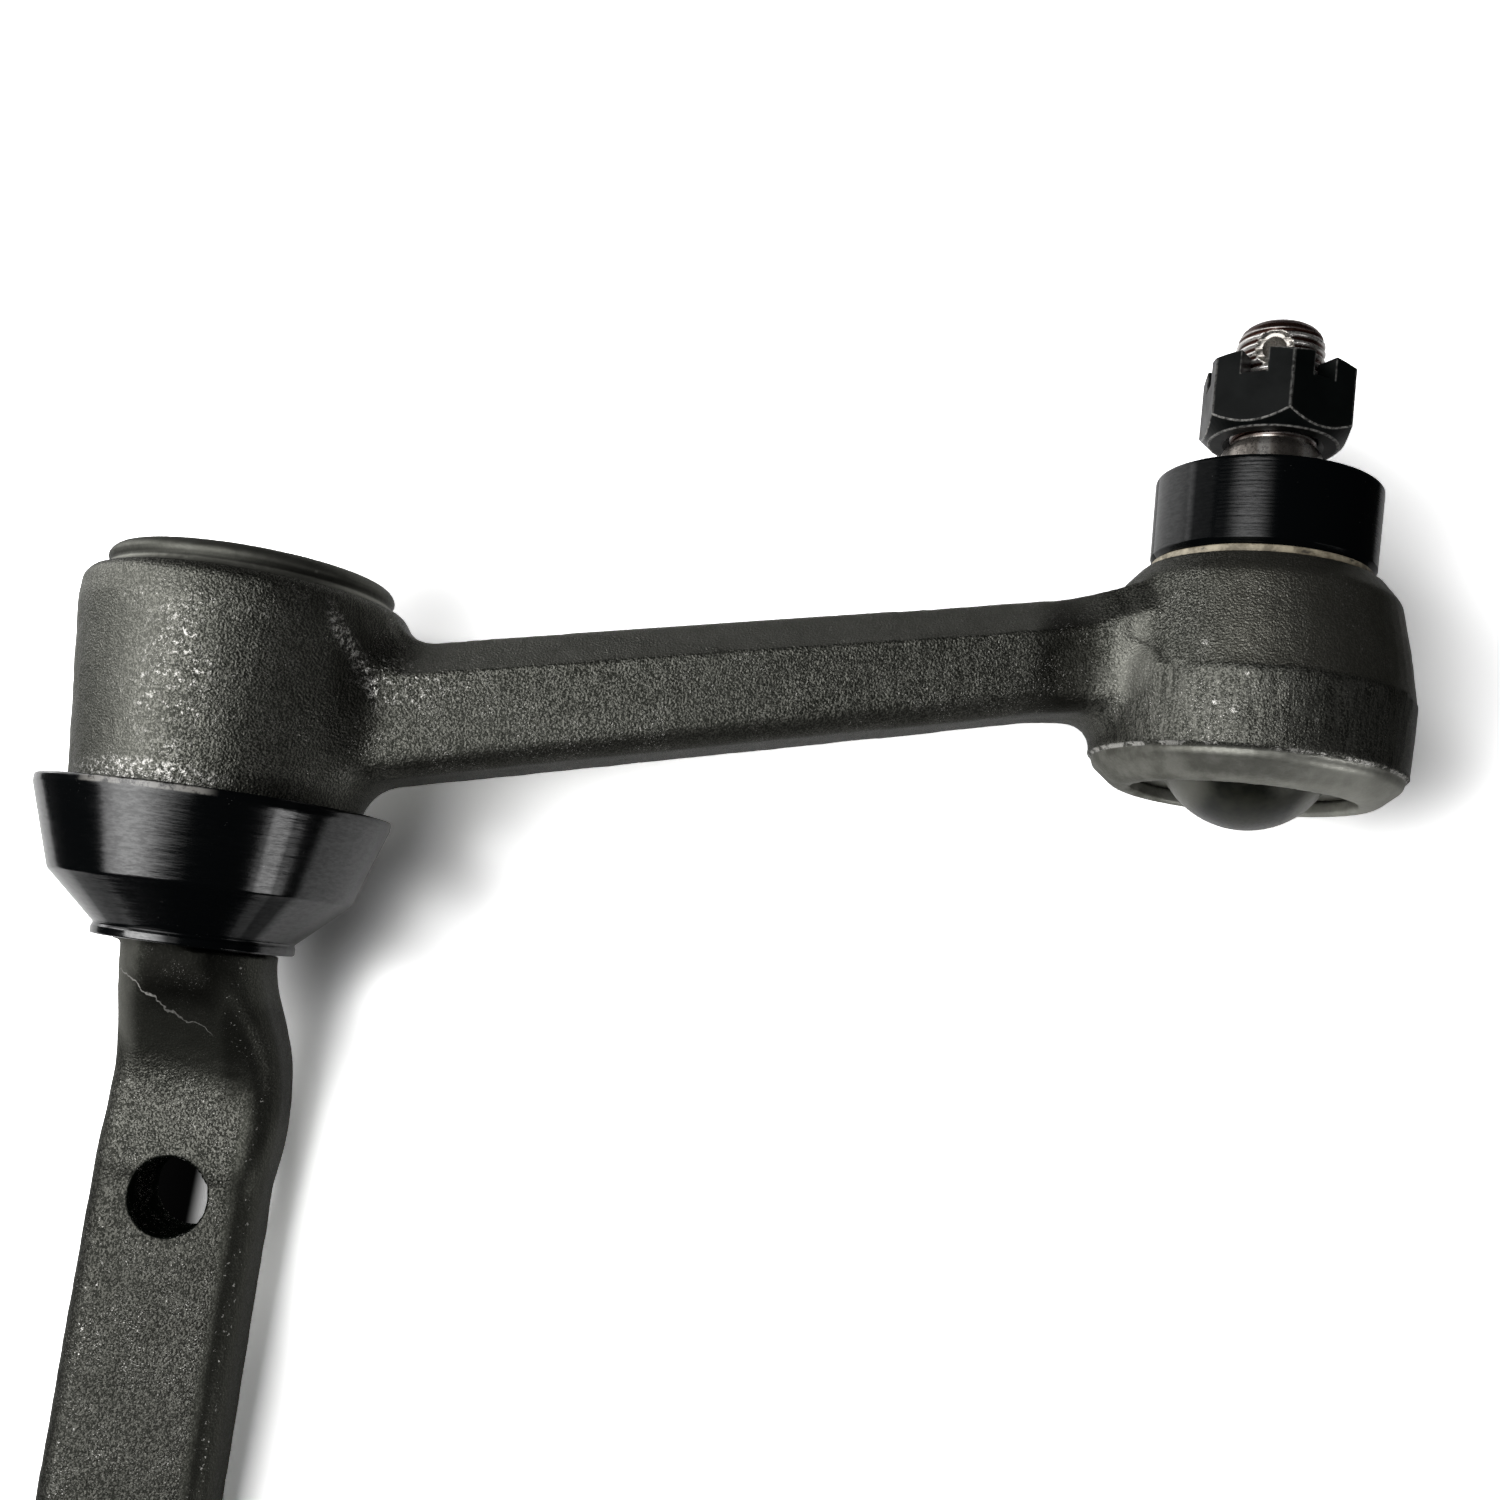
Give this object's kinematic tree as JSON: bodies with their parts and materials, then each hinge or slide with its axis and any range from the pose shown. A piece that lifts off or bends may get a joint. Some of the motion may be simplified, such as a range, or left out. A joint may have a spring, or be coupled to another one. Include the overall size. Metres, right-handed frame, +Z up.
{
  "type": "idler arm",
  "caption": "Forged steering idler arm: frame bracket with upright spindle, arm swinging on it in bushings, and a booted ball stud with slotted nut at the free end.",
  "frame": {"origin": "middle of the two frame bolts, on the bracket's back face, which bolts to the frame rail", "axes": "+Z up the spindle, +X from the spindle towards the ball joint, +Y out of the bracket's back face into the frame rail"},
  "size_m": [0.2145, 0.0544, 0.234],
  "materials": {
    "forging_bracket": "dark phosphated forging, rough",
    "forging_arm": "dark phosphated forging, rough",
    "pivot_rubber": "glossy black",
    "boot_rubber": "glossy black with fine turned rings",
    "thrust_steel": "ground",
    "spring_steel": "oiled",
    "nut_black": "black oxide, satin",
    "cotter_steel": "zinc plated",
    "bronze": "sintered bronze",
    "cover_steel": "pressed, dark phosphated",
    "race_steel": "hardened and ground",
    "seat_plastic": "moulded bearing plastic",
    "ring_plastic": "stained, pale beige",
    "stud_steel": "bright rolled thread, brownish shank",
    "collar_steel": "plain"
  },
  "bodies": {
    "bracket": {"frame_bracket": "forging_bracket", "pivot_boot": "pivot_rubber", "lower_thrust_washer": "thrust_steel", "upper_thrust_washer": "thrust_steel", "preload_spring": "spring_steel", "spindle_nut": "nut_black", "spindle_cotter": "cotter_steel"},
    "arm": {"arm_forging": "forging_arm", "lower_bushing": "bronze", "upper_bushing": "bronze", "pivot_cover": "cover_steel", "upper_race": "race_steel", "seat_spring": "spring_steel", "ball_cover": "cover_steel", "boot_ring": "ring_plastic"},
    "seat": {"pressure_seat": "seat_plastic"},
    "boot": {"boot_collar": "collar_steel", "stud_boot": "boot_rubber"},
    "stud": {"ball_stud": "stud_steel", "castle_nut": "nut_black"}
  },
  "joints": [
    {"name": "arm_swing", "type": "hinge", "parent": "bracket", "child": "arm", "pos_m": [-0.0032, -0.012, 0.0997], "axis": [0, 0, 1], "continuous": true},
    {"name": "stud_turn", "type": "hinge", "parent": "arm", "child": "seat", "pos_m": [0.1586, -0.012, 0.1297], "axis": [0, 0, 1], "continuous": true},
    {"name": "stud_tilt", "type": "hinge", "parent": "seat", "child": "boot", "pos_m": [0.1586, -0.012, 0.1297], "axis": [0, 1, 0], "range_deg": [-15, 15], "deforming": ["stud_boot"]},
    {"name": "stud_spin", "type": "hinge", "parent": "boot", "child": "stud", "pos_m": [0.1586, -0.012, 0.1297], "axis": [0, 0, 1], "continuous": true}
  ]
}
